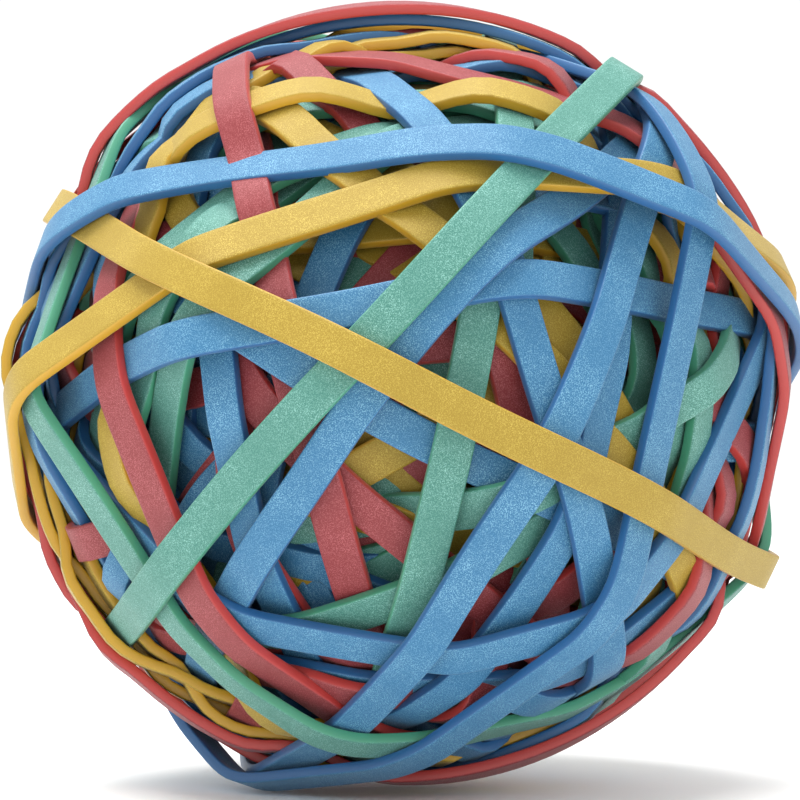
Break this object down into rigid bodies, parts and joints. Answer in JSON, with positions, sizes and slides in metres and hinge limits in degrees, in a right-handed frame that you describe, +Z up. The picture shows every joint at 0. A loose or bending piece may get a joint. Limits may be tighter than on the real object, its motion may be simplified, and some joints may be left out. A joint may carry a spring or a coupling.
{
  "type": "rubber band ball",
  "caption": "Ball of flat coloured rubber bands stretched one over another round a wound core, kept on a desk as a store of bands.",
  "frame": {"origin": "middle of the ball, at the centroid of its solids", "axes": "+Z up as the ball is usually shown, -Y out of its shown side, +X to that side's right and along its longest extent"},
  "size_m": [0.0777, 0.0768, 0.0748],
  "materials": {
    "blue_rubber": "matte, talc-dusted",
    "green_rubber": "matte, talc-dusted",
    "yellow_rubber": "matte, talc-dusted",
    "red_rubber": "matte, talc-dusted",
    "core_rubber": "matte"
  },
  "bodies": {
    "root": {"band_01_blue": "blue_rubber", "band_02_yellow": "yellow_rubber", "band_03_red": "red_rubber", "band_04_green": "green_rubber", "band_05_yellow": "yellow_rubber", "band_06_green": "green_rubber", "band_07_red": "red_rubber", "band_08_green": "green_rubber", "band_09_yellow": "yellow_rubber", "band_10_blue": "blue_rubber", "band_11_yellow": "yellow_rubber", "band_12_red": "red_rubber", "band_13_green": "green_rubber", "band_14_green": "green_rubber", "band_15_yellow": "yellow_rubber", "band_16_yellow": "yellow_rubber", "band_17_red": "red_rubber", "band_18_red": "red_rubber", "band_19_yellow": "yellow_rubber", "band_20_blue": "blue_rubber", "band_21_red": "red_rubber", "band_22_red": "red_rubber", "band_23_red": "red_rubber", "band_24_yellow": "yellow_rubber", "band_25_red": "red_rubber", "band_26_red": "red_rubber", "band_27_red": "red_rubber", "band_28_blue": "blue_rubber", "band_29_red": "red_rubber", "band_30_green": "green_rubber", "band_31_yellow": "yellow_rubber", "band_32_blue": "blue_rubber", "band_33_green": "green_rubber", "band_34_green": "green_rubber", "band_35_green": "green_rubber", "band_36_blue": "blue_rubber", "band_37_yellow": "yellow_rubber", "band_38_green": "green_rubber", "band_39_green": "green_rubber", "band_40_yellow": "yellow_rubber", "band_41_blue": "blue_rubber", "band_42_blue": "blue_rubber", "band_43_blue": "blue_rubber", "band_44_blue": "blue_rubber", "band_45_blue": "blue_rubber", "band_46_red": "red_rubber", "band_47_blue": "blue_rubber", "band_48_red": "red_rubber", "band_49_red": "red_rubber", "band_50_blue": "blue_rubber", "band_51_green": "green_rubber", "band_52_yellow": "yellow_rubber", "band_53_blue": "blue_rubber", "band_54_green": "green_rubber", "band_55_yellow": "yellow_rubber", "band_56_blue": "blue_rubber", "wound_core": "core_rubber"}
  },
  "joints": []
}
